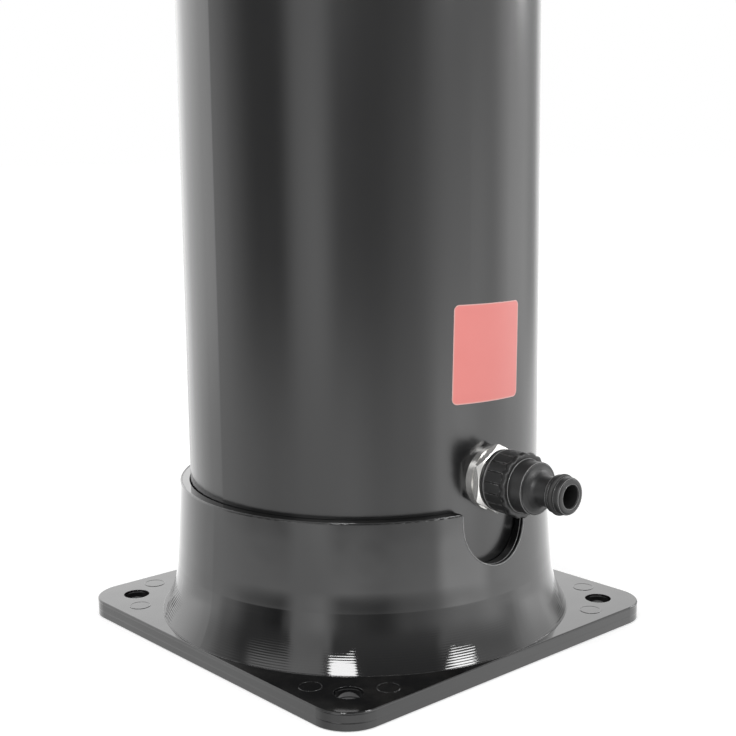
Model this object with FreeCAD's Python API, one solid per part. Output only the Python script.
import FreeCAD, Part
import math
import os

from FreeCAD import Vector

# Solar outdoor shower: a black water column on a square moulded foot, with a lever mixer, a gooseneck arm
# and a round shower head. Millimetres. Origin at the middle of the foot's underside, +Z up, the mixer and
# the head towards -Y and the hose inlet towards +Y.

# Foot plate
plate_margin = 0.7
plate_thick = 7.6
plate_corner_r = 16.5
plate_edge_round = 0.6
plate_skin = 4.0
plate_rim_wall = 3.5
rib_thick = 2.6
anchor_inset = 17.7
anchor_hole_r = 6.0
anchor_boss_wall = 4.0

# Collar that holds the column
collar_top_z = 68.6
collar_wall = 4.0
collar_draft_deg = 3.65
foot_flare = 10.0
collar_rim_round = 0.8
notch_edge_round = 0.5
foot_fillet_z = 31.0
collar_gap = 0.5
pocket_wall = 4.0
notch_r = 18.3
notch_centre_z = 62.5

# Column tubes
tank_r = 80.0
tank_wall = 4.0
lower_tank_top_z = 1050.0
upper_tank_length = 925.0

# Bottom plug of the column and the screws that hold it to the foot
plug_thick = 6.0
plug_skirt_wall = 3.0
plug_skirt_height = 30.0
glue_gap = 0.05
screw_circle_r = 52.0
screw_r = 2.0
screw_length = 16.0
screw_head_r = 4.0
screw_head_height = 2.4
screw_head_depth = 3.4
screw_boss_r = 7.5
screw_head_crown = 0.7
cutter_reach = 1.0

# Screwed joint between the two column tubes
sleeve_wall = 4.0
sleeve_overlap = 46.0
sleeve_floor = 4.0
sleeve_chamfer = 1.0
sleeve_top_chamfer = 2.0
seal_thick = 3.0
flange_width = 4.0
flange_height = 6.0
ring_wall = 5.0
ring_height = 52.0
ring_lip = 5.0
ring_gap = 0.1
ring_low_chamfer = 2.0
ring_top_chamfer = 3.0
grip_count = 24
grip_r = 3.2
grip_out = 1.6

# Hose inlet
inlet_z = 80.8
stub_r = 10.45
stub_bore_r = 7.0
stub_tail = 12.0
stub_chamfer = 0.8
thread_gap = 0.05
inlet_seal_r = 14.0
inlet_seal_out = 1.2
outer_seal_r = 12.0
washer_r = 13.4
washer_thick = 1.2
hex_flats = 26.0
hex_thick = 3.6
hex_chamfer = 1.1
adaptor_gap = 0.5
adaptor_r = 13.2
skirt_length = 13.7
flute_count = 18
flute_depth = 0.5
flute_width_deg = 4.0
skirt_web = 3.0
adaptor_seal_thick = 2.0
body_r = 10.9
body_length = 6.7
shoulder_r = 10.3
neck_r = 6.3
neck_start = 10.0
neck_end = 15.2
collar_ring_r = 7.8
collar_ring_start = 16.4
groove_start = 17.8
groove_end = 20.2
groove_r = 6.1
tip_r = 7.67
tip_length = 23.6
water_bore_r = 4.76
skirt_chamfer = 0.6
lip_chamfer = 0.5
shoulder_taper = 0.6
shoulder_drop = 1.2
shoulder_run = 0.8
neck_hollow_out = 1.0
neck_hollow_run = 1.9
tip_chamfer = 0.9
mouth_chamfer = 0.5
flute_margin = 0.8

# Inner side of the inlet
inner_washer_thick = 2.0
inner_flange_r = 15.0
inner_flange_thick = 4.0
tee_wall = 3.0
tee_length = 26.0
tee_end = 2.0
tee_chamfer = 1.0
barb_r = 5.0
barb_bore_r = 3.5
barb_length = 16.0
pipe_wall = 1.5
pipe_bend_r = 30.0
pipe_push_gap = 2.0
hot_intake_drop = 25.0
mixed_bend_drop = 60.0

# Mixer
mixer_z = 1250.0
gasket_thick = 1.5
gasket_r = 34.0
saddle_r = 36.0
saddle_height = 12.0
saddle_flare = 1.0
saddle_lip = 5.0
saddle_chamfer = 1.0
rose_r = 33.0
rose_thick = 4.0
rose_chamfer = 1.0
rose_edge = 2.0
rose_crown = 0.5
body_hollow_r = 2.0
body_hollow_in = 0.6
tail_floor = 2.0
tail_blind = 1.0
link_back = 5.0
mixer_r = 26.0
pivot_ahead = 23.5
cartridge_r = 17.5
cartridge_gap = 0.1
cartridge_floor_ahead = 12.0
cartridge_base_thick = 4.0
cartridge_wall = 2.0
mouth_step = 4.5
disc_thick = 4.0
fixed_disc_r = 13.5
moving_disc_r = 12.0
disc_gap = 0.05
disc_over_ball = 1.5
pocket_gap = 0.15
pocket_floor_gap = 0.3
mix_hollow_r = 5.2
mix_hollow_depth = 1.5
mix_hollow_side = 4.0
port_r = 2.6
port_edge = 3.5
port_seal_width = 1.4
port_seal_high = 1.3
port_seal_gap = 0.1
tail_drop = 15.0
tail_rise = 8.0
tail_side = 13.0
tail_in = 16.0
back_plate_r = 28.0
back_plate_inset = 12.0
tail_nut_flats = 15.0
tail_nut_thick = 5.0
tail_nut_chamfer = 0.8
carrier_neck_r = 11.9
cartridge_neck_wall = 2.0
neck_front = 3.5
ring_depth = 2.5
ring_front = 1.5
ring_step = 1.0
pin_r = 1.5
pin_inset = 0.2
spindle_ball_r = 2.5
spindle_rod_r = 1.9
spindle_arm = 8.0
spindle_half = 4.0
spindle_reach = 17.0
spindle_behind = 2.5
spindle_start = 9.0
lever_screw_r = 1.9
lever_screw_bite = 9.0
lever_screw_length = 10.0
lever_screw_gap = 0.1
lever_seat_ahead = 3.0
lever_head_r = 3.7
lever_head_high = 2.1
lever_head_chamfer = 0.5
counterbore_r = 3.9
lift_deg = 20.0
dome_r = 24.0
dome_wall = 1.4
dome_hole_deg = 42.0
hub_gap = 0.6
hub_wall = 2.9
hub_rim_deg = 62.0
hub_boss_r = 7.5
hub_boss_start = 10.0
lever_length = 112.0
lever_lean = 36.0
lever_width = 19.0
lever_tip_width = 15.0
lever_thick = 9.0
lever_tip_thick = 6.0
blade_root_out = 20.0
blade_root_drop = 12.0
blade_root_lean = 20.0
blade_neck_out = 0.72
blade_neck_drop = 0.36
blade_neck_thin = 0.85
blade_neck_lean = 12.0
blade_mid_out = 0.86
blade_mid_drop = 0.68
blade_tip_lean = 9.0
cap_plug_r = 5.0
cap_plug_gap = 0.05
cap_plug_depth = 2.4
cap_crown = 0.2
cap_edge = 0.5
cap_edge_high = 0.4

# Top cap and water outlet
cap_skirt = 42.0
cap_wall = 3.5
cap_rise = 26.0
cap_shoulder_r = 12.0
cap_boss_r = 27.0
cap_boss_height = 2.0
cap_turn_deg = 75.0
cap_lip_chamfer = 0.8
outlet_r = 10.4
outlet_bore_r = 7.0
outlet_up = 22.0
outlet_flange_r = 16.0
outlet_flange_thick = 4.0
outlet_washer_thick = 2.0
outlet_nut_flats = 27.0
outlet_nut_thick = 8.0
outlet_nut_chamfer = 1.0

# Arm
arm_r = 11.0
arm_wall = 1.5
arm_bend_r = 75.0
arm_straight = 60.0
arm_rise = 25.0
arm_drop = 18.0
socket_height = 46.0
socket_r = 15.5
socket_foot_r = 29.0
socket_clear = 0.5
socket_lip = 2.0
socket_flare_high = 18.0
socket_flare_in = 3.5
socket_flare_mid = 7.5
stub_clear = 1.0
spigot_slip = 0.05
spigot_depth = 18.0
spigot_bore_r = 7.0
spigot_gap = 0.05
arm_flange_r = 14.0
arm_flange_thick = 4.0
hub_sleeve_wall = 2.0
hub_sleeve_length = 10.0
hub_sleeve_chamfer = 1.0
spigot_chamfer = 1.0
first_ring_up = 5.0
second_ring_up = 11.0
o_ring_gap = 0.05
gland_wall = 2.5
gland_lip = 8.0
gland_skirt = 12.0
gland_chamfer = 0.8
gland_crown_in = 3.0
gland_crown_high = 4.0
gland_crown_mid = 1.2
o_ring_r = 1.1

# Ball joint and shower head
tip_wall = 2.5
tip_sleeve = 14.0
tip_shelf = 6.0
tip_edge = 1.5
tip_neck = 0.6
ball_r = 11.0
ball_stem_r = 6.0
ball_bore_r = 3.2
ball_drop = 18.0
ball_gap = 0.1
tilt_deg = 20.0
clip_thick = 1.2
clip_width = 2.0
clip_groove = 1.0
clip_gap = 0.02
stem_over_clip = 3.0
stem_chamfer = 0.5
ball_nut_r = 17.0
ball_nut_top = 9.0
ball_lip = 4.0
ball_nut_low = 7.0
ball_nut_chamfer = 0.8
ball_nut_side = 4.0
ball_nut_crown = 3.5
ball_nut_mid = 7.2
mouth_gap = 1.0
nut_seat_high = 0.5
neck_top_high = 0.4
lip_land = 0.3
seat_rim_low = 3.0
seat_hole = 3.0
seat_slip = 0.05
neck_wall = 3.6
neck_depth = 11.0
head_r = 75.0
head_drop = 27.0
head_edge = 7.0
head_wall = 2.2
neck_skirt_low = 7.5
neck_step = 1.0
dome_edge_in = 4.0
dome_edge_high = 3.0
dome_mid = 0.55
dome_mid_low = 0.5
rim_round = 1.0
rim_round_high = 1.4
rim_chamfer = 0.5
inner_rim_low = 1.5
inner_mid = 0.52
inner_mid_low = 1.2
inner_hub_r = 6.0
water_hole = 2.0
face_thick = 3.0
face_inset = 1.5
mat_thick = 1.6
nozzle_pitch = 14.0
nozzle_rings = 4
nozzle_root_r = 1.6
nozzle_tip_r = 1.1
nozzle_out = 2.2
nozzle_gap = 0.15
nozzle_bore_r = 0.6
mat_margin = 3.0

X_AXIS = Vector(1, 0, 0)
Z_AXIS = Vector(0, 0, 1)
ORIGIN = Vector(0, 0, 0)
SAME = 1e-6

collar_bore_r = tank_r + collar_gap
collar_r = collar_bore_r + collar_wall
foot_r = collar_r + foot_flare
half_side = foot_r + plate_margin
plate_side = 2 * half_side
anchor_at = half_side - anchor_inset
tank_bore_r = tank_r - tank_wall
plug_top_z = plate_thick + plug_thick
upper_tank_z = lower_tank_top_z + 2 * sleeve_floor + seal_thick
upper_tank_top_z = upper_tank_z + upper_tank_length
cap_top_z = upper_tank_top_z + cap_rise
cap_under_z = cap_top_z - cap_wall
saddle_out = tank_r + saddle_height
cartridge_floor_out = saddle_out + cartridge_floor_ahead
pivot_out = cartridge_floor_out + pivot_ahead
back_plate_in = tank_r - back_plate_inset


def place(shape, x=0.0, y=0.0, z=0.0):
    """A copy of the shape, moved."""
    moved = shape.copy()
    moved.translate(Vector(x, y, z))
    return moved


def to_back(shape, z):
    """Turns a shape made along +Z so that it points to +Y at height z."""
    turned = shape.copy()
    turned.rotate(ORIGIN, X_AXIS, -90)
    turned.translate(Vector(0, 0, z))
    return turned


def to_front(shape, z):
    """Turns a shape made along +Z so that it points to -Y at height z."""
    turned = shape.copy()
    turned.rotate(ORIGIN, X_AXIS, 90)
    turned.translate(Vector(0, 0, z))
    return turned


def rod(radius, low, high, x=0.0, y=0.0):
    """A cylinder along Z from low to high."""
    return Part.makeCylinder(radius, high - low, Vector(x, y, low))


def tube(outer, inner, low, high):
    """A plain tube along Z."""
    return rod(outer, low, high).cut(rod(inner, low, high))


def profile_edges(points):
    """Edges through (r, z) points; a step with two more numbers is an arc through that middle point."""
    edges = []
    last = points[0]
    for step in list(points[1:]) + [points[0][:2]]:
        start = Vector(last[0], 0, last[1])
        end = Vector(step[0], 0, step[1])
        if len(step) == 4:
            middle = Vector(step[2], 0, step[3])
            edges.append(Part.Arc(start, middle, end).toShape())
        elif (end - start).Length > SAME:
            edges.append(Part.LineSegment(start, end).toShape())
        last = step
    return edges


def turned(points):
    """A solid of revolution about Z from a closed (r, z) outline."""
    face = Part.Face(Part.Wire(profile_edges(points)))
    return face.revolve(ORIGIN, Z_AXIS, 360)


def arc_middle(centre, radius, start_deg, end_deg):
    """The middle point of an arc about a centre, and its end, as the four numbers of an outline step."""
    middle = math.radians((start_deg + end_deg) / 2)
    end = math.radians(end_deg)
    return (
        centre[0] + radius * math.cos(end),
        centre[1] + radius * math.sin(end),
        centre[0] + radius * math.cos(middle),
        centre[1] + radius * math.sin(middle),
    )


def hexagon(flats, low, high, chamfer=0.0):
    """A hexagonal nut blank along Z with its corners turned down at both ends."""
    corner = flats / math.sqrt(3)
    points = [Vector(corner * math.sin(math.radians(60 * i)), corner * math.cos(math.radians(60 * i)), low)
              for i in range(7)]
    block = Part.Face(Part.makePolygon(points)).extrude(Vector(0, 0, high - low))
    if chamfer:
        drop = chamfer * math.tan(math.radians(30))
        cone = turned([(0, low), (corner - chamfer, low), (corner, low + drop), (corner, high - drop),
                       (corner - chamfer, high), (0, high)])
        block = block.common(cone)
    return block


def rounded_square(side, corner_r, low, high):
    """A square plate with rounded corners, centred on the axis."""
    half = side / 2
    block = Part.makeBox(side, side, high - low, Vector(-half, -half, low))
    upright = [e for e in block.Edges if abs(e.Vertexes[0].Z - e.Vertexes[1].Z) > SAME]
    return block.makeFillet(corner_r, upright)


def o_ring(mean_r, z, section_r):
    """A rubber ring round the Z axis."""
    return Part.makeTorus(mean_r, section_r, Vector(0, 0, z))


def pipe_path(points, bend_r):
    """Straight runs through the points, joined by tangent arcs."""
    edges = []
    start = Vector(*points[0])
    for before, corner, after in zip(points, points[1:], points[2:]):
        corner = Vector(*corner)
        back = (Vector(*before) - corner).normalize()
        on = (Vector(*after) - corner).normalize()
        half_turn = (math.pi - back.getAngle(on)) / 2
        reach = bend_r * math.tan(half_turn)
        arc_start = corner + back * reach
        arc_end = corner + on * reach
        bisector = (back + on).normalize()
        centre = corner + bisector * (bend_r / math.cos(half_turn))
        middle = centre - bisector * bend_r
        edges.append(Part.LineSegment(start, arc_start).toShape())
        edges.append(Part.Arc(arc_start, middle, arc_end).toShape())
        start = arc_end
    edges.append(Part.LineSegment(start, Vector(*points[-1])).toShape())
    return Part.Wire(edges)


def pipe(points, outer, inner, bend_r):
    """A bent pipe with its bore open at both ends."""
    path = pipe_path(points, bend_r)
    start = Vector(*points[0])
    along = (Vector(*points[1]) - start).normalize()
    solids = []
    for radius in (outer, inner):
        section = Part.Wire([Part.makeCircle(radius, start, along)])
        solids.append(path.makePipeShell([section], True, False))
    return solids[0].cut(solids[1])


def around(shape, count, start_deg=0.0):
    """Copies of a shape, evenly spaced round the Z axis."""
    copies = []
    for i in range(count):
        copy = shape.copy()
        copy.rotate(ORIGIN, Z_AXIS, start_deg + 360 * i / count)
        copies.append(copy)
    return copies


def corners(offset):
    """The four places of a square pattern."""
    return [(sx * offset, sy * offset) for sx in (-1, 1) for sy in (-1, 1)]


# Foot

def skirt_start():
    """Radius and slope of the collar's drafted side where the foot's fillet begins."""
    slope = math.tan(math.radians(collar_draft_deg))
    return collar_r + slope * (collar_top_z - foot_fillet_z), slope


def skirt_outline(inset=0.0):
    """The collar's outside from its rim to the plate: a drafted side and a concave arc tangent to it."""
    start_r, slope = skirt_start()
    scale = math.hypot(1, slope)
    normal = (1 / scale, slope / scale)
    reach_r = foot_r - start_r
    drop = plate_thick - foot_fillet_z
    fillet_r = (reach_r ** 2 + drop ** 2) / (2 * (reach_r * normal[0] + drop * normal[1]))
    centre = (start_r + fillet_r * normal[0], foot_fillet_z + fillet_r * normal[1])
    begin = math.degrees(math.atan2(-normal[1], -normal[0])) % 360
    end = math.degrees(math.atan2(plate_thick - centre[1], foot_r - centre[0])) % 360
    arc = arc_middle(centre, fillet_r + inset, begin, end)
    first = (centre[0] - (fillet_r + inset) * normal[0], centre[1] - (fillet_r + inset) * normal[1])
    return first, arc


def collar_shell():
    """The collar as a turned block, before its bore is cut."""
    first, arc = skirt_outline()
    rim = (collar_r - collar_rim_round, collar_top_z - collar_rim_round)
    return turned([
        (0, plate_thick - plate_skin), (foot_r, plate_thick - plate_skin), (foot_r, plate_thick),
        (first[0], first[1], arc[2], arc[3]),
        (collar_r, rim[1]), arc_middle(rim, collar_rim_round, 0, 90), (0, collar_top_z),
    ])


def skirt_pocket():
    """The hollow under the collar's foot that keeps its wall even."""
    first, arc = skirt_outline(pocket_wall)
    inner = collar_bore_r + pocket_wall
    return turned([(inner, 0), (arc[0], 0), (arc[0], arc[1]), (first[0], first[1], arc[2], arc[3]),
                   (inner, first[1])])


def underside_pocket():
    """The hollow under the plate, with the ribs, bosses and rings that stay."""
    depth = plate_thick - plate_skin
    inner_side = plate_side - 2 * plate_rim_wall
    pocket = rounded_square(inner_side, plate_corner_r - plate_rim_wall, 0, depth)
    keep = [tube(collar_bore_r + collar_wall, collar_bore_r, 0, depth)]
    for x, y in corners(anchor_at):
        keep.append(rod(anchor_hole_r + anchor_boss_wall, 0, depth, x, y))
    for x, y in corners(screw_circle_r / math.sqrt(2)):
        keep.append(rod(screw_boss_r, 0, depth, x, y))
    rib = Part.makeBox(2 * plate_side, rib_thick, depth, Vector(-plate_side, -rib_thick / 2, 0))
    keep += around(rib, 8)[:4]
    for shape in keep:
        pocket = pocket.cut(shape)
    return pocket


def notch():
    """The U-shaped opening in the collar that clears the hose inlet."""
    reach = half_side - tank_r + collar_wall
    low = rod(notch_r, 0, reach)
    slab = Part.makeBox(2 * notch_r, 2 * collar_top_z, reach, Vector(-notch_r, -2 * collar_top_z, 0))
    return place(to_back(low.fuse(slab), notch_centre_z), 0, tank_r - collar_wall, 0)


def base_flange():
    plate = rounded_square(plate_side, plate_corner_r, 0, plate_thick)
    top = [e for e in plate.Edges if e.BoundBox.ZMin > plate_thick - SAME]
    body = plate.makeFillet(plate_edge_round, top).fuse(collar_shell())
    cuts = [rod(collar_bore_r, plate_thick, 2 * collar_top_z), underside_pocket(), skirt_pocket(), notch()]
    for x, y in corners(anchor_at):
        cuts.append(rod(anchor_hole_r, -plate_thick, 2 * plate_thick, x, y))
    for x, y in corners(screw_circle_r / math.sqrt(2)):
        cuts.append(rod(screw_r + thread_gap, -plate_thick, 2 * plate_thick, x, y))
        cuts.append(rod(screw_head_r + 2 * collar_gap, -plate_thick, screw_head_depth, x, y))
    for cut in cuts:
        body = body.cut(cut)
    return body.makeFillet(notch_edge_round, [e for e in body.Edges if on_notch_rim(e)])


def on_notch_rim(edge):
    """Whether an edge runs along the notch on the collar's outer side."""
    middle = edge.valueAt((edge.FirstParameter + edge.LastParameter) / 2)
    outside = math.hypot(middle.x, middle.y) > collar_bore_r + SAME
    if middle.y < 0 or middle.z < plate_thick or not outside:
        return False
    below = abs(math.hypot(middle.x, middle.z - notch_centre_z) - notch_r) < SAME
    beside = middle.z > notch_centre_z and abs(abs(middle.x) - notch_r) < SAME
    return below or beside


def base_screws():
    """Four pan head screws from below, through the foot into the column's plug."""
    head_low = screw_head_depth - screw_head_height
    one = turned([
        (0, head_low), (screw_head_r * screw_head_crown, head_low),
        (screw_head_r, head_low + screw_head_height / 2),
        (screw_head_r, screw_head_depth), (screw_r, screw_head_depth),
        (screw_r, screw_head_depth + screw_length - screw_r), (0, screw_head_depth + screw_length),
    ])
    return [place(one, x, y) for x, y in corners(screw_circle_r / math.sqrt(2))]


# Column

def column_plug():
    """The moulded plug glued into the foot of the column, with a boss for each screw."""
    outer = tank_bore_r - glue_gap
    body = rod(outer, plate_thick, plug_top_z)
    body = body.fuse(tube(outer, outer - plug_skirt_wall, plug_top_z, plug_top_z + plug_skirt_height))
    tip_z = screw_head_depth + screw_length
    for x, y in corners(screw_circle_r / math.sqrt(2)):
        body = body.fuse(rod(screw_boss_r, plate_thick, tip_z + plug_skirt_wall, x, y))
    for x, y in corners(screw_circle_r / math.sqrt(2)):
        body = body.cut(rod(screw_r + thread_gap, plate_thick, tip_z + thread_gap, x, y))
    return body


def lower_tank():
    body = tube(tank_r, tank_bore_r, plate_thick, lower_tank_top_z)
    hole = to_back(rod(stub_r + collar_gap, 0, 2 * tank_r), inlet_z)
    return body.cut(hole)


def lower_sleeve():
    """The threaded sleeve glued over the lower tube."""
    top = lower_tank_top_z + sleeve_floor
    low = lower_tank_top_z - sleeve_overlap
    outer = tank_r + glue_gap + sleeve_wall
    return turned([
        (tank_r + glue_gap, low), (outer - sleeve_chamfer, low), (outer, low + sleeve_chamfer), (outer, top),
        (tank_bore_r, top), (tank_bore_r, lower_tank_top_z), (tank_r + glue_gap, lower_tank_top_z),
    ])


def joint_seal():
    low = lower_tank_top_z + sleeve_floor
    return tube(tank_r + sleeve_wall, tank_bore_r, low, low + seal_thick)


def upper_sleeve():
    """The flanged sleeve glued over the upper tube; its flange is what the ring pulls down."""
    low = lower_tank_top_z + sleeve_floor + seal_thick
    outer = tank_r + glue_gap + sleeve_wall
    return turned([
        (tank_bore_r, low), (outer + flange_width - sleeve_chamfer, low),
        (outer + flange_width, low + sleeve_chamfer),
        (outer + flange_width, low + flange_height), (outer, low + flange_height),
        (outer, low + sleeve_overlap - sleeve_top_chamfer),
        (outer - sleeve_top_chamfer, low + sleeve_overlap),
        (tank_r + glue_gap, low + sleeve_overlap), (tank_r + glue_gap, upper_tank_z),
        (tank_bore_r, upper_tank_z),
    ])


def joint_ring():
    """The screwed ring that joins the two tubes, with finger grips round it."""
    flange_top = lower_tank_top_z + sleeve_floor + seal_thick + flange_height
    flange_outer = tank_r + glue_gap + sleeve_wall + flange_width
    bore = tank_r + glue_gap + sleeve_wall + ring_gap
    outer = flange_outer + ring_gap + ring_wall
    high = flange_top + ring_lip
    low = high - ring_height
    flange_low = lower_tank_top_z + sleeve_floor
    body = turned([
        (bore, low), (outer - ring_low_chamfer, low), (outer, low + ring_low_chamfer),
        (outer, high - ring_top_chamfer), (outer - ring_top_chamfer, high), (bore, high),
        (bore, flange_top), (flange_outer + ring_gap, flange_top), (flange_outer + ring_gap, flange_low),
        (bore, flange_low),
    ])
    grip = rod(grip_r, low - cutter_reach, high + cutter_reach, outer + grip_out)
    for one in around(grip, grip_count):
        body = body.cut(one)
    return body


def upper_tank():
    body = tube(tank_r, tank_bore_r, upper_tank_z, upper_tank_top_z)
    for x, dz in tail_places():
        body = body.cut(place(to_front(rod(barb_r + collar_gap, 0, 2 * tank_r), mixer_z + dz), x))
    return body


def top_cap():
    """The domed moulded cap glued over the column, with a flat boss for the arm."""
    bore = tank_r + glue_gap
    outer = bore + cap_wall
    low = upper_tank_top_z - cap_skirt
    turn_z = upper_tank_top_z
    shoulder = (outer - cap_shoulder_r, turn_z)
    outer_turn = arc_middle(shoulder, cap_shoulder_r, 0, cap_turn_deg)
    inner_r = cap_shoulder_r - cap_wall
    ledge_deg = math.degrees(math.acos((tank_bore_r - shoulder[0]) / inner_r))
    inner_turn = arc_middle(shoulder, inner_r, cap_turn_deg, ledge_deg)
    turn = math.radians(cap_turn_deg)
    inner_first = (shoulder[0] + inner_r * math.cos(turn), shoulder[1] + inner_r * math.sin(turn))
    body = turned([
        (bore, low), (outer - cap_lip_chamfer, low), (outer, low + cap_lip_chamfer),
        (outer, turn_z), outer_turn,
        (cap_boss_r + cap_wall, cap_top_z - cap_boss_height), (cap_boss_r, cap_top_z),
        (outlet_r + thread_gap, cap_top_z),
        (outlet_r + thread_gap, cap_under_z), (cap_boss_r, cap_under_z), inner_first, inner_turn,
        (tank_bore_r, turn_z), (bore, turn_z),
    ])
    return body


# Hose inlet

def tank_cylinder(radius):
    """A long cylinder on the column's axis, for cutting curved seats."""
    return rod(radius, -cap_top_z, 2 * cap_top_z)


def seal_out():
    return tank_r + inlet_seal_out


def nut_back():
    return seal_out() + washer_thick


def skirt_back():
    return nut_back() + hex_thick + adaptor_gap


def inlet_outer_seal():
    ring = tube(outer_seal_r, stub_r + thread_gap, tank_bore_r, seal_out())
    return to_back(ring, inlet_z).cut(tank_cylinder(tank_r))


def inlet_washer():
    """The washer under the lock nut: flat in front, and curved behind to sit on the column round the seal."""
    blank = tube(washer_r, stub_r + thread_gap, tank_bore_r, nut_back())
    seal_room = rod(outer_seal_r + thread_gap, tank_bore_r, seal_out())
    return to_back(blank.cut(seal_room), inlet_z).cut(tank_cylinder(tank_r + thread_gap))


def inlet_nut():
    front = nut_back() + hex_thick
    blank = hexagon(hex_flats, nut_back(), front, hex_chamfer)
    return to_back(blank.cut(rod(stub_r + thread_gap, tank_r, front + cutter_reach)), inlet_z)


def inner_face():
    """Distance from the axis to the flat face of the inner rubber washer."""
    return math.sqrt(tank_bore_r ** 2 - inlet_seal_r ** 2) - inner_washer_thick


def inlet_inner_washer():
    ring = tube(inlet_seal_r, stub_r + thread_gap, inner_face(), tank_r)
    return to_back(ring, inlet_z).common(tank_cylinder(tank_bore_r))


def inlet_stub():
    """The threaded brass tube through the column's wall, with its flange on the inside."""
    flange = inner_face() - inner_flange_thick
    tail = flange - stub_tail
    front = skirt_back() + skirt_length - skirt_web - adaptor_seal_thick
    outline = [
        (stub_bore_r, tail), (stub_r - stub_chamfer, tail), (stub_r, tail + stub_chamfer), (stub_r, flange),
        (inner_flange_r, flange), (inner_flange_r, inner_face()), (stub_r, inner_face()),
        (stub_r, front - stub_chamfer), (stub_r - stub_chamfer, front), (stub_bore_r, front),
    ]
    return to_back(turned(outline), inlet_z)


def inlet_tee():
    """The branch piece behind the inlet: one way opens into the column, the other feeds the cold pipe."""
    flange = inner_face() - inner_flange_thick
    outer = stub_r + thread_gap + tee_wall
    low = flange - tee_length
    body = turned([
        (stub_bore_r, low), (outer - tee_chamfer, low), (outer, low + tee_chamfer), (outer, flange),
        (stub_r + thread_gap, flange), (stub_r + thread_gap, flange - stub_tail),
        (stub_bore_r, flange - stub_tail),
    ])
    body = to_back(body, inlet_z)
    y = tee_y()
    branch = rod(barb_r, inlet_z, inlet_z + outer + barb_length, 0, y)
    bore = rod(barb_bore_r, inlet_z, inlet_z + outer + barb_length + cutter_reach, 0, y)
    solid_core = to_back(rod(stub_bore_r, low - cutter_reach, flange + cutter_reach), inlet_z)
    return body.fuse(branch.cut(solid_core)).cut(bore)


def tee_y():
    """Where the tee's branch stands."""
    return inner_face() - inner_flange_thick - tee_length + barb_r + tee_end


def hose_adaptor():
    """The moulded push-fit adaptor: a fluted skirt that screws on the stub, and the nipple for the hose."""
    back = skirt_back()
    web = back + skirt_length - skirt_web
    face = back + skirt_length
    shoulder = face + body_length
    bore = stub_r + thread_gap
    outer = [
        (adaptor_r - skirt_chamfer, back), (adaptor_r, back + skirt_chamfer),
        (adaptor_r, face - lip_chamfer), (adaptor_r - lip_chamfer, face),
        (body_r, face), (body_r, shoulder - shoulder_taper), (shoulder_r, shoulder),
        (shoulder_r - shoulder_drop, shoulder + shoulder_run),
        (neck_r, face + neck_start, neck_r + neck_hollow_out, shoulder + neck_hollow_run),
        (neck_r, face + neck_end),
        (collar_ring_r, face + collar_ring_start), (collar_ring_r, face + groove_start),
        (groove_r, face + groove_start), (groove_r, face + groove_end), (tip_r, face + groove_end),
        (tip_r, face + tip_length - tip_chamfer), (tip_r - tip_chamfer, face + tip_length),
    ]
    inner = [
        (water_bore_r + mouth_chamfer, face + tip_length), (water_bore_r, face + tip_length - mouth_chamfer),
        (water_bore_r, web), (bore, web), (bore, back),
    ]
    body = turned(outer + inner)
    width = 2 * adaptor_r * math.sin(math.radians(flute_width_deg / 2))
    corner = Vector(adaptor_r - flute_depth, 0, back + flute_margin)
    groove = Part.makeBox(2 * flute_depth, width, skirt_length - 2 * flute_margin, corner)
    for one in around(groove, flute_count):
        body = body.cut(one)
    return to_back(body, inlet_z)


def adaptor_seal():
    web = skirt_back() + skirt_length - skirt_web
    return to_back(tube(stub_r, water_bore_r, web - adaptor_seal_thick, web), inlet_z)


def nipple_ring():
    face = skirt_back() + skirt_length
    section = (groove_end - groove_start) / 2 - thread_gap
    ring = o_ring(groove_r + section + thread_gap, face + (groove_start + groove_end) / 2, section)
    return to_back(ring, inlet_z)


# Pipes inside the column

def tail_places():
    """Where the mixer's cold, hot and mixed tails pass the wall: across, and above the mixer's axis."""
    return [(0.0, -tail_drop), (tail_side, tail_rise), (-tail_side, tail_rise)]


def tail_end():
    return back_plate_in - tail_nut_thick - tail_in


def pipe_end():
    """Where a pipe pushed over the mixer's tail ends."""
    return -(tail_end() + tail_in - pipe_push_gap)


def cold_pipe():
    """From the inlet's tee up to the mixer."""
    start = inlet_z + stub_r + thread_gap + tee_wall + pipe_push_gap / 2
    z = mixer_z - tail_drop
    end = pipe_end()
    points = [(0, tee_y(), start), (0, tee_y(), z), (0, end, z)]
    return pipe(points, barb_r + pipe_wall, barb_r + glue_gap, pipe_bend_r)


def hot_pipe():
    """From the warm water at the top of the column down to the mixer."""
    z = mixer_z + tail_rise
    top = upper_tank_top_z - hot_intake_drop
    end = pipe_end()
    points = [(tail_side, 0, top), (tail_side, 0, z), (tail_side, end, z)]
    return pipe(points, barb_r + pipe_wall, barb_r + glue_gap, pipe_bend_r)


def mixed_pipe():
    """From the mixer up to the arm."""
    z = mixer_z + tail_rise
    end = pipe_end()
    high = outlet_flange_low() - pipe_push_gap
    points = [(-tail_side, end, z), (-tail_side, 0, z), (-tail_side, 0, high - 2 * mixed_bend_drop),
              (0, 0, high - mixed_bend_drop), (0, 0, high)]
    return pipe(points, barb_r + pipe_wall, barb_r + glue_gap, pipe_bend_r)


# Mixer, made along +Z from the column's axis and then turned to the front

def tails(radius, low, high):
    """Three rods along the mixer's axis at the tails' places."""
    return [rod(radius, low, high, x, dz) for x, dz in tail_places()]


def cut_all(body, tools):
    for tool in tools:
        body = body.cut(tool)
    return body


def mixer_gasket():
    blank = cut_all(rod(gasket_r, 0, 2 * tank_r), tails(barb_r + collar_gap, -cutter_reach, 3 * tank_r))
    placed = to_front(blank, mixer_z)
    return placed.common(tank_cylinder(tank_r + gasket_thick)).cut(tank_cylinder(tank_r))


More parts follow.
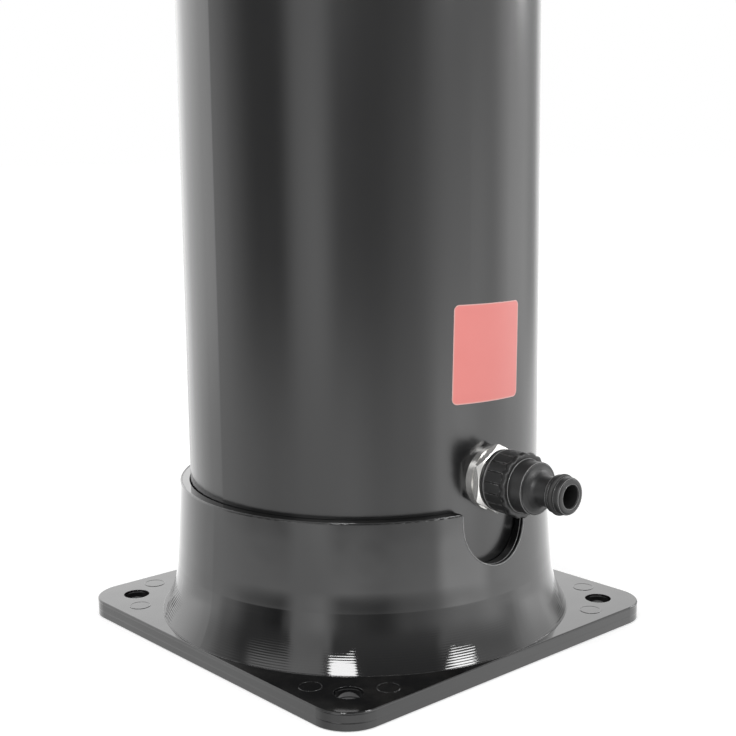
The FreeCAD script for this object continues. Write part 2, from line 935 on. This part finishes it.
def mixer_saddle():
    """The moulded saddle: curved to the column behind, flat to the mixer in front."""
    foot = saddle_r + saddle_flare
    outline = [(0, 0), (foot, 0), (foot, saddle_out - saddle_lip), (saddle_r, saddle_out - saddle_chamfer),
               (saddle_r - saddle_chamfer, saddle_out), (0, saddle_out)]
    blank = cut_all(turned(outline), tails(barb_r + collar_gap, -cutter_reach, 2 * saddle_out))
    return to_front(blank, mixer_z).cut(tank_cylinder(tank_r + gasket_thick))


def mixer_back_plate():
    """The plate inside the column that the tail nuts pull against."""
    blank = cut_all(rod(back_plate_r, back_plate_in, tank_r), tails(barb_r + collar_gap, 0, 2 * tank_r))
    return to_front(blank, mixer_z).common(tank_cylinder(tank_bore_r))


def tail_nuts():
    nuts = []
    low = back_plate_in - tail_nut_thick
    for x, dz in tail_places():
        nut = hexagon(tail_nut_flats, low, back_plate_in, tail_nut_chamfer)
        nut = nut.cut(rod(barb_r + thread_gap, low - cutter_reach, tank_r))
        nuts.append(to_front(place(nut, x, dz), mixer_z))
    return nuts


def mixer_body():
    """The cast mixer: rose, tails and the round housing with its cartridge bore."""
    mouth = pivot_out
    front = saddle_out + rose_thick
    bore_low = cartridge_floor_out
    body = turned([
        (0, saddle_out), (rose_r - rose_chamfer, saddle_out), (rose_r, saddle_out + rose_chamfer),
        (rose_r, front - rose_edge),
        (mixer_r + body_hollow_r, front, rose_r - rose_chamfer, front - rose_crown),
        (mixer_r, front + body_hollow_r, mixer_r + body_hollow_in, front + body_hollow_in),
        (mixer_r, mouth), (nut_r(), mouth), (nut_r(), nut_low()),
        (cartridge_r + cartridge_gap, nut_low()), (cartridge_r + cartridge_gap, bore_low), (0, bore_low),
    ])
    for tail in tails(barb_r, tail_end(), bore_low - tail_floor):
        body = body.fuse(tail)
    body = cut_all(body, tails(barb_bore_r, tail_end() - cutter_reach, bore_low - tail_floor - tail_blind))
    for x, dz, px, pz in port_links():
        start = Vector(x, dz, bore_low - link_back)
        way = Vector(px, pz, bore_low + cutter_reach) - start
        body = body.cut(Part.makeCylinder(port_r, way.Length, start, way))
    return to_front(body, mixer_z)


def port_places():
    """Where the ports stand in the cartridge: under the tails, drawn in to the discs' size."""
    shrink = (fixed_disc_r - port_r - port_edge) / math.hypot(tail_side, tail_rise)
    return [(x * shrink, dz * shrink) for x, dz in tail_places()]


def port_links():
    return [(t[0], t[1], p[0], p[1]) for t, p in zip(tail_places(), port_places())]


def ports(radius, low, high):
    return [rod(radius, low, high, x, z) for x, z in port_places()]


def base_top():
    return cartridge_floor_out + cartridge_base_thick


def cartridge_base():
    """The cartridge's foot, with a port for each way and a groove for its ring."""
    body = cut_all(rod(cartridge_r, cartridge_floor_out, base_top()), ports(port_r, 0, 2 * base_top()))
    groove_r = port_r + port_seal_width + port_seal_gap
    floor = cartridge_floor_out + port_seal_high + port_seal_gap
    grooves = ports(groove_r, cartridge_floor_out - cutter_reach, floor)
    return to_front(cut_all(body, grooves), mixer_z)


def port_seals():
    seals = []
    low = cartridge_floor_out
    for x, z in port_places():
        ring = tube(port_r + port_seal_width, port_r, low, low + port_seal_high)
        seals.append(to_front(place(ring, x, z), mixer_z))
    return seals


def fixed_disc():
    body = cut_all(rod(fixed_disc_r, base_top(), base_top() + disc_thick), ports(port_r, 0, 2 * base_top()))
    return to_front(body, mixer_z)


def moving_disc_low():
    return base_top() + disc_thick + disc_gap


def ball_out():
    return pivot_out - spindle_arm


def moving_disc_high():
    return ball_out() + disc_over_ball


def moving_disc():
    """The ceramic disc that the spindle pushes, with its pocket and a mixing hollow below."""
    body = rod(moving_disc_r, moving_disc_low(), moving_disc_high())
    pocket_low = ball_out() - spindle_ball_r - pocket_floor_gap
    body = body.cut(rod(spindle_ball_r + pocket_gap, pocket_low, moving_disc_high() + cutter_reach))
    low = moving_disc_low()
    hollow = rod(mix_hollow_r, low - cutter_reach, low + mix_hollow_depth, 0, mix_hollow_side)
    return to_front(body.cut(hollow), mixer_z)


def nut_r():
    return cartridge_r + mouth_step


def nut_low():
    return pivot_out - ring_depth


def shoulder_out():
    """The cartridge housing's shoulder, which the retaining ring presses on."""
    return nut_low() + ring_step


def neck_outer():
    return carrier_neck_r + cartridge_gap + cartridge_neck_wall


def cartridge_housing():
    """The cartridge's shell, from its foot to the neck that guides the carrier."""
    inner = cartridge_r - cartridge_wall
    front = pivot_out + neck_front
    roof = shoulder_out() - cartridge_wall
    return to_front(turned([
        (inner, base_top()), (cartridge_r, base_top()), (cartridge_r, shoulder_out()),
        (neck_outer(), shoulder_out()), (neck_outer(), front),
        (carrier_neck_r + cartridge_gap, front), (carrier_neck_r + cartridge_gap, roof), (inner, roof),
    ]), mixer_z)


def cartridge_ring():
    """The brass ring that screws into the mixer's mouth and holds the cartridge down."""
    front = pivot_out + ring_front
    return to_front(tube(nut_r() - thread_gap, neck_outer() + cartridge_gap, shoulder_out(), front), mixer_z)


def slot(half_width, half_length, low, high):
    """A slot along the tilt direction, for cutting."""
    return Part.makeBox(2 * half_width, 2 * half_length, high - low, Vector(-half_width, -half_length, low))


def carrier():
    """The part that turns with the lever and holds the spindle's pin."""
    low = moving_disc_high() + disc_gap
    roof = shoulder_out() - cartridge_wall - disc_gap
    front = pivot_out + neck_front
    step_r = cartridge_r - cartridge_wall - cartridge_gap
    body = turned([(0, low), (step_r, low), (step_r, roof), (carrier_neck_r, roof), (carrier_neck_r, front),
                   (0, front)])
    swing = spindle_arm * math.sin(math.radians(lift_deg))
    way = slot(spindle_half + cartridge_gap, spindle_half + swing, low - cutter_reach, front + cutter_reach)
    body = body.cut(way)
    pin_hole = Part.makeCylinder(pin_r + thread_gap, 2 * step_r, Vector(-step_r, 0, pivot_out), X_AXIS)
    return to_front(body.cut(pin_hole), mixer_z)


def pivot_pin():
    half = carrier_neck_r - pin_inset
    pin = Part.makeCylinder(pin_r, 2 * half, Vector(-half, 0, pivot_out), X_AXIS)
    return to_front(pin, mixer_z)


def spindle():
    """The lever's spindle: a square head, the pin's eye and a rod with a ball that pushes the disc."""
    head = slot(spindle_half, spindle_half, pivot_out - spindle_behind, pivot_out + spindle_reach)
    post = rod(spindle_rod_r, ball_out(), pivot_out)
    ball = Part.makeSphere(spindle_ball_r, Vector(0, 0, ball_out()))
    body = head.fuse(post).fuse(ball)
    across = 4 * spindle_half
    eye = Part.makeCylinder(pin_r + thread_gap, across, Vector(-across / 2, 0, pivot_out), X_AXIS)
    tip = pivot_out + spindle_reach
    screw_hole = rod(lever_screw_r, tip - lever_screw_bite, tip + cutter_reach)
    return to_front(body.cut(eye).cut(screw_hole), mixer_z)


def sphere_point(radius, polar_deg):
    """A point on a sphere about the pivot, as (r, distance from the column's axis)."""
    polar = math.radians(polar_deg)
    return (radius * math.sin(polar), pivot_out + radius * math.cos(polar))


def sphere_step(radius, from_deg, to_deg):
    end = sphere_point(radius, to_deg)
    middle = sphere_point(radius, (from_deg + to_deg) / 2)
    return (end[0], end[1], middle[0], middle[1])


def mixer_dome():
    """The polished dome over the cartridge, centred on the spindle's pin."""
    inner = dome_r - dome_wall
    return to_front(turned([
        sphere_point(inner, 90), sphere_point(dome_r, 90), sphere_step(dome_r, 90, dome_hole_deg),
        sphere_point(inner, dome_hole_deg), sphere_step(inner, dome_hole_deg, 90),
    ]), mixer_z)


def hub_inner_r():
    return dome_r + hub_gap


def hub_outer_r():
    return hub_inner_r() + hub_wall


def lever_section(out, drop, width, thick, lean_deg):
    """One rounded cross-section of the lever's blade."""
    ellipse = Part.Ellipse(ORIGIN, width / 2, thick / 2).toShape()
    wire = Part.Wire([ellipse])
    wire.rotate(ORIGIN, X_AXIS, 90 + lean_deg)
    wire.translate(Vector(0, -drop, pivot_out + out))
    return wire


def lever():
    """The lever: a hub that rides over the dome and a blade that hangs down and leans forward."""
    outer, inner = hub_outer_r(), hub_inner_r()
    hub = turned([
        sphere_point(inner, hub_rim_deg), sphere_point(outer, hub_rim_deg),
        sphere_step(outer, hub_rim_deg, 0),
        (0, pivot_out + inner), sphere_step(inner, 0, hub_rim_deg),
    ])
    boss = rod(hub_boss_r, pivot_out + hub_boss_start, pivot_out + inner + hub_wall / 2)
    neck = (lever_lean * blade_neck_out, lever_length * blade_neck_drop)
    mid = (lever_lean * blade_mid_out, lever_length * blade_mid_drop)
    mid_width = (lever_width + lever_tip_width) / 2
    stations = [
        (blade_root_out, blade_root_drop, lever_width, lever_thick, blade_root_lean),
        (neck[0], neck[1], lever_width, lever_thick * blade_neck_thin, blade_neck_lean),
        (mid[0], mid[1], mid_width, lever_tip_thick, blade_tip_lean),
        (lever_lean, lever_length, lever_tip_width, lever_tip_thick, blade_tip_lean),
    ]
    blade = Part.makeLoft([lever_section(*s) for s in stations], True, False)
    blade = blade.cut(Part.makeSphere(inner, Vector(0, 0, pivot_out)))
    body = hub.fuse(boss).fuse(blade)
    square = slot(spindle_half, spindle_half, pivot_out + spindle_start, pivot_out + spindle_reach)
    hole = rod(lever_screw_r + lever_screw_gap, pivot_out, pivot_out + 2 * outer)
    counterbore = rod(counterbore_r, lever_seat(), pivot_out + 2 * outer)
    cap_seat = rod(cap_plug_r, pivot_out + outer - cap_plug_depth, pivot_out + 2 * outer)
    return to_front(body.cut(square).cut(hole).cut(counterbore).cut(cap_seat), mixer_z)


def lever_seat():
    """The floor under the lever screw's head."""
    return pivot_out + spindle_reach + lever_seat_ahead


def lever_screw():
    seat = lever_seat()
    top = seat + lever_head_high
    return to_front(turned([
        (0, seat - lever_screw_length), (lever_screw_r, seat - lever_screw_length), (lever_screw_r, seat),
        (lever_head_r, seat), (lever_head_r, top - lever_head_chamfer),
        (lever_head_r - lever_head_chamfer, top), (0, top),
    ]), mixer_z)


def lever_cap():
    """The round temperature cap that hides the lever's screw."""
    low = pivot_out + hub_outer_r() - cap_plug_depth
    high = low + cap_plug_depth
    r = cap_plug_r - cap_plug_gap
    return to_front(turned([(0, low), (r, low), (r, high - cap_edge_high), (r - cap_edge, high),
                            (0, high + cap_crown)]), mixer_z)


# Water outlet and arm

def outlet_flange_low():
    return cap_under_z - outlet_washer_thick - outlet_flange_thick


def outlet_stub():
    """The brass tube through the cap: a barb for the inner pipe below, a thread above."""
    low = outlet_flange_low()
    high = cap_top_z + outlet_up
    barb_low = low - barb_length
    return turned([
        (barb_bore_r, barb_low), (barb_r, barb_low), (barb_r, low), (outlet_flange_r, low),
        (outlet_flange_r, low + outlet_flange_thick), (outlet_r, low + outlet_flange_thick),
        (outlet_r, high), (outlet_bore_r, high), (outlet_bore_r, low), (barb_bore_r, low),
    ])


def outlet_washer():
    low = outlet_flange_low() + outlet_flange_thick
    return tube(outlet_flange_r, outlet_r + thread_gap, low, low + outlet_washer_thick)


def outlet_nut():
    top = cap_top_z + outlet_nut_thick
    blank = hexagon(outlet_nut_flats, cap_top_z, top, outlet_nut_chamfer)
    return blank.cut(rod(outlet_r + thread_gap, cap_top_z - cutter_reach, top + cutter_reach))


def socket_top():
    return cap_top_z + socket_height


def arm_socket():
    """The chromed socket on the cap: it covers the nut and holds the arm's spigot."""
    nut_clear = outlet_nut_flats / math.sqrt(3) + socket_clear
    nut_top = cap_top_z + outlet_nut_thick + socket_clear
    arm_low = cap_top_z + outlet_up + stub_clear
    top = socket_top()
    return turned([
        (nut_clear, cap_top_z), (socket_foot_r, cap_top_z), (socket_foot_r, cap_top_z + socket_lip),
        (socket_r, cap_top_z + socket_flare_high, socket_r + socket_flare_in, cap_top_z + socket_flare_mid),
        (socket_r, top), (arm_r, top), (arm_r, arm_low),
        (outlet_r + thread_gap, arm_low), (outlet_r + thread_gap, nut_top), (nut_clear, nut_top),
    ])


def spigot_r():
    return arm_r - spigot_slip


def arm_spigot():
    """The turned foot of the arm: grooves for two rubber rings, a flange and a sleeve for the tube."""
    low = socket_top() - spigot_depth
    top = socket_top()
    flange_top = top + disc_gap + arm_flange_thick
    sleeve_top = flange_top + hub_sleeve_length
    groove = spigot_r() - 2 * o_ring_r
    sleeve_r = arm_r + hub_sleeve_wall
    half = o_ring_r + o_ring_gap
    outline = [(spigot_bore_r, low), (spigot_r() - spigot_chamfer, low), (spigot_r(), low + spigot_chamfer)]
    for z in ring_heights():
        outline += [(spigot_r(), z - half), (groove, z - half), (groove, z + half), (spigot_r(), z + half)]
    outline += [
        (spigot_r(), top + disc_gap), (arm_flange_r, top + disc_gap), (arm_flange_r, flange_top),
        (sleeve_r, flange_top), (sleeve_r, sleeve_top - hub_sleeve_chamfer),
        (sleeve_r - hub_sleeve_chamfer, sleeve_top), (arm_r + glue_gap, sleeve_top),
        (arm_r + glue_gap, flange_top), (spigot_bore_r, flange_top),
    ]
    return turned(outline)


def ring_heights():
    low = socket_top() - spigot_depth
    return [low + first_ring_up, low + second_ring_up]


def spigot_rings():
    """The two rubber rings that seal the turning arm."""
    mean = spigot_r() - o_ring_r
    return [o_ring(mean, z, o_ring_r - o_ring_gap) for z in ring_heights()]


def arm_gland():
    """The chromed nut that keeps the arm's flange in the socket and lets it turn."""
    top = socket_top()
    flange_top = top + disc_gap + arm_flange_thick
    bore = arm_r + hub_sleeve_wall + ring_gap
    outer = socket_r + gland_wall
    low = top - gland_skirt
    high = flange_top + disc_gap + gland_lip
    return turned([
        (socket_r + thread_gap, low), (outer - gland_chamfer, low), (outer, low + gland_chamfer),
        (outer, high - gland_crown_high),
        (outer - gland_crown_in, high, outer - gland_chamfer, high - gland_crown_mid),
        (bore, high), (bore, flange_top + disc_gap),
        (arm_flange_r + ring_gap, flange_top + disc_gap), (arm_flange_r + ring_gap, top),
        (socket_r + thread_gap, top),
    ])


def arm_base_z():
    return socket_top() + disc_gap + arm_flange_thick


def arm_top_z():
    return arm_base_z() + arm_rise + arm_bend_r


def arm_reach():
    return 2 * arm_bend_r + arm_straight


def arm_end_z():
    return arm_top_z() - arm_bend_r - arm_drop


def arm_tube():
    """The gooseneck: up, over to the front and down again."""
    points = [(0, 0, arm_base_z()), (0, 0, arm_top_z()), (0, -arm_reach(), arm_top_z()),
              (0, -arm_reach(), arm_end_z())]
    return pipe(points, arm_r, arm_r - arm_wall, arm_bend_r)


# Ball joint and head, made on the Z axis and moved out to the arm's end

def tip_floor():
    return arm_end_z() - tip_shelf


def ball_z():
    return tip_floor() - ball_drop


def at_arm_end(shape):
    return place(shape, 0, -arm_reach(), 0)


def arm_tip():
    """The turned sleeve soldered on the arm's end, in which the ball's stem turns."""
    outer = arm_r + tip_wall
    high = arm_end_z() + tip_sleeve
    return at_arm_end(turned([
        (ball_stem_r + spigot_gap, tip_floor()), (outer - tip_edge, tip_floor()),
        (outer, tip_floor() + tip_edge), (outer, high - tip_edge),
        (arm_r + tip_neck, high), (arm_r + glue_gap, high), (arm_r + glue_gap, arm_end_z()),
        (ball_stem_r + spigot_gap, arm_end_z()),
    ]))


def ball_stub():
    """The hollow ball and its stem."""
    top = arm_end_z() + disc_gap + clip_thick + stem_over_clip
    groove_z = arm_end_z() + disc_gap
    stem_r = ball_stem_r
    start = math.degrees(math.acos(stem_r / ball_r))
    centre = (0, ball_z())
    end = -math.degrees(math.acos(ball_bore_r / ball_r))
    first = (stem_r, ball_z() + ball_r * math.sin(math.radians(start)))
    return at_arm_end(turned([
        (ball_bore_r, top), (stem_r - stem_chamfer, top), (stem_r, top - stem_chamfer),
        (stem_r, groove_z + clip_thick), (stem_r - clip_groove, groove_z + clip_thick),
        (stem_r - clip_groove, groove_z), (stem_r, groove_z), first,
        arc_middle(centre, ball_r, start, end),
    ]))


def stem_clip():
    """The spring clip that keeps the stem in the sleeve."""
    low = arm_end_z() + disc_gap
    bore = ball_stem_r - clip_groove + clip_gap
    return at_arm_end(tube(ball_stem_r + clip_width, bore, low, low + clip_thick))


def cup_step(radius, from_h, to_h):
    """An arc of the ball's seat between two heights from the ball's centre."""
    end = (math.sqrt(radius ** 2 - to_h ** 2), ball_z() + to_h)
    middle_angle = (math.asin(from_h / radius) + math.asin(to_h / radius)) / 2
    return (end[0], end[1], radius * math.cos(middle_angle), ball_z() + radius * math.sin(middle_angle))


def ball_nut():
    """The nut that holds the head on the ball, with an opening for the stem's tilt."""
    seat = ball_r + ball_gap
    z = ball_z()
    skirt_r = neck_r_outer() + thread_gap
    lip_r = math.sqrt(seat ** 2 - ball_lip ** 2)
    tilt = math.radians(tilt_deg)
    mouth_r = ball_nut_top * math.tan(tilt) + ball_stem_r / math.cos(tilt) + mouth_gap
    low = z - ball_nut_low
    body = turned([
        (skirt_r, low), (ball_nut_r - ball_nut_chamfer, low), (ball_nut_r, low + ball_nut_chamfer),
        (ball_nut_r, z + ball_nut_side),
        (ball_nut_r - ball_nut_crown, z + ball_nut_top, ball_nut_r - ball_nut_chamfer, z + ball_nut_mid),
        (max(mouth_r, lip_r + lip_land), z + ball_nut_top), (lip_r, z + ball_lip),
        cup_step(seat, ball_lip, nut_seat_high),
        (skirt_r, z + nut_seat_high),
    ])
    return at_arm_end(body)


def neck_r_outer():
    return ball_r + ball_gap + neck_wall


def ball_seat():
    """The rubber seat under the ball."""
    seat = ball_r + ball_gap
    z = ball_z()
    outer = seat - seat_slip
    hole_r = ball_bore_r + seat_hole
    low_h = -math.sqrt(seat ** 2 - hole_r ** 2)
    first_h = -seat_rim_low
    first = (math.sqrt(seat ** 2 - first_h ** 2), z + first_h)
    floor = z - neck_depth
    return at_arm_end(turned([
        (outer, floor), (outer, z + first_h), first, cup_step(seat, first_h, low_h), (hole_r, floor),
    ]))


def head_rim_top():
    return ball_z() - head_drop + head_edge


def head_bottom():
    return ball_z() - head_drop


def head_shell():
    """The domed back of the head with its neck."""
    z = ball_z()
    neck = neck_r_outer()
    floor = z - neck_depth
    top = z + neck_top_high
    rim_top = head_rim_top()
    low = head_bottom()
    inside_r = head_r - head_wall
    ceiling = floor - head_wall
    skirt_low = z - neck_skirt_low
    body = turned([
        (ball_r + ball_gap, top), (neck, top), (neck, skirt_low),
        (ball_nut_r + neck_step, skirt_low - neck_step),
        (head_r - dome_edge_in, rim_top + dome_edge_high, head_r * dome_mid, floor - dome_mid_low),
        (head_r, rim_top - rim_round, head_r - rim_round, rim_top + rim_round_high),
        (head_r, low + rim_chamfer), (head_r - rim_chamfer, low), (inside_r, low),
        (inside_r, rim_top - inner_rim_low),
        (ball_bore_r + inner_hub_r, ceiling, head_r * inner_mid, ceiling - inner_mid_low),
        (ball_bore_r + water_hole, ceiling), (ball_bore_r + water_hole, floor), (ball_r + ball_gap, floor),
    ])
    return at_arm_end(body)


def nozzle_places():
    """The nozzles' places: one in the middle and rings of 6, 12, 18 and so on."""
    places = [(0.0, 0.0)]
    for ring in range(1, nozzle_rings + 1):
        for i in range(6 * ring):
            angle = 2 * math.pi * i / (6 * ring)
            places.append((ring * nozzle_pitch * math.cos(angle), ring * nozzle_pitch * math.sin(angle)))
    return places


def face_low():
    return head_bottom() + face_inset


def head_face():
    """The face plate with a hole for each nozzle."""
    body = rod(head_r - head_wall - glue_gap, face_low(), face_low() + face_thick)
    low = face_low() - cutter_reach
    high = face_low() + face_thick + cutter_reach
    holes = [rod(nozzle_root_r + nozzle_gap, low, high, x, y) for x, y in nozzle_places()]
    return at_arm_end(body.cut(Part.makeCompound(holes)))


def nozzle_mat():
    """The soft mat behind the face plate, with its nozzles through the holes."""
    top = face_low() + face_thick
    tip = face_low() - nozzle_out
    body = rod(head_r - head_wall - mat_margin, top, top + mat_thick)
    nozzle = Part.makeCone(nozzle_tip_r, nozzle_root_r, face_thick + nozzle_out, Vector(0, 0, tip))
    body = body.fuse([place(nozzle, x, y) for x, y in nozzle_places()])
    bores = [rod(nozzle_bore_r, tip - cutter_reach, top + mat_thick + cutter_reach, x, y)
             for x, y in nozzle_places()]
    return at_arm_end(body.cut(Part.makeCompound(bores)))


PARTS = {
    "base_flange": base_flange,
    "base_screws": base_screws,
    "column_plug": column_plug,
    "lower_tank": lower_tank,
    "lower_sleeve": lower_sleeve,
    "joint_seal": joint_seal,
    "upper_sleeve": upper_sleeve,
    "joint_ring": joint_ring,
    "upper_tank": upper_tank,
    "top_cap": top_cap,
    "inlet_outer_seal": inlet_outer_seal,
    "inlet_washer": inlet_washer,
    "inlet_nut": inlet_nut,
    "inlet_inner_washer": inlet_inner_washer,
    "inlet_stub": inlet_stub,
    "inlet_tee": inlet_tee,
    "hose_adaptor": hose_adaptor,
    "adaptor_seal": adaptor_seal,
    "nipple_ring": nipple_ring,
    "cold_pipe": cold_pipe,
    "hot_pipe": hot_pipe,
    "mixed_pipe": mixed_pipe,
    "mixer_gasket": mixer_gasket,
    "mixer_saddle": mixer_saddle,
    "mixer_back_plate": mixer_back_plate,
    "tail_nuts": tail_nuts,
    "mixer_body": mixer_body,
    "cartridge_base": cartridge_base,
    "port_seals": port_seals,
    "fixed_disc": fixed_disc,
    "moving_disc": moving_disc,
    "cartridge_housing": cartridge_housing,
    "cartridge_ring": cartridge_ring,
    "carrier": carrier,
    "pivot_pin": pivot_pin,
    "spindle": spindle,
    "mixer_dome": mixer_dome,
    "lever": lever,
    "lever_screw": lever_screw,
    "lever_cap": lever_cap,
    "outlet_stub": outlet_stub,
    "outlet_washer": outlet_washer,
    "outlet_nut": outlet_nut,
    "arm_socket": arm_socket,
    "arm_spigot": arm_spigot,
    "spigot_rings": spigot_rings,
    "arm_gland": arm_gland,
    "arm_tube": arm_tube,
    "arm_tip": arm_tip,
    "ball_stub": ball_stub,
    "stem_clip": stem_clip,
    "ball_nut": ball_nut,
    "ball_seat": ball_seat,
    "head_shell": head_shell,
    "head_face": head_face,
    "nozzle_mat": nozzle_mat,
}


def main():
    os.makedirs("parts", exist_ok=True)
    for name, make in PARTS.items():
        shape = make()
        if isinstance(shape, list):
            shape = Part.makeCompound(shape)
        shape.exportStep(f"parts/{name}.step")
        box = shape.BoundBox
        print(f"{name}: {len(shape.Solids)} solid, valid {shape.isValid()}, volume {shape.Volume:.1f}, "
              f"z {box.ZMin:.2f} to {box.ZMax:.2f}")


main()
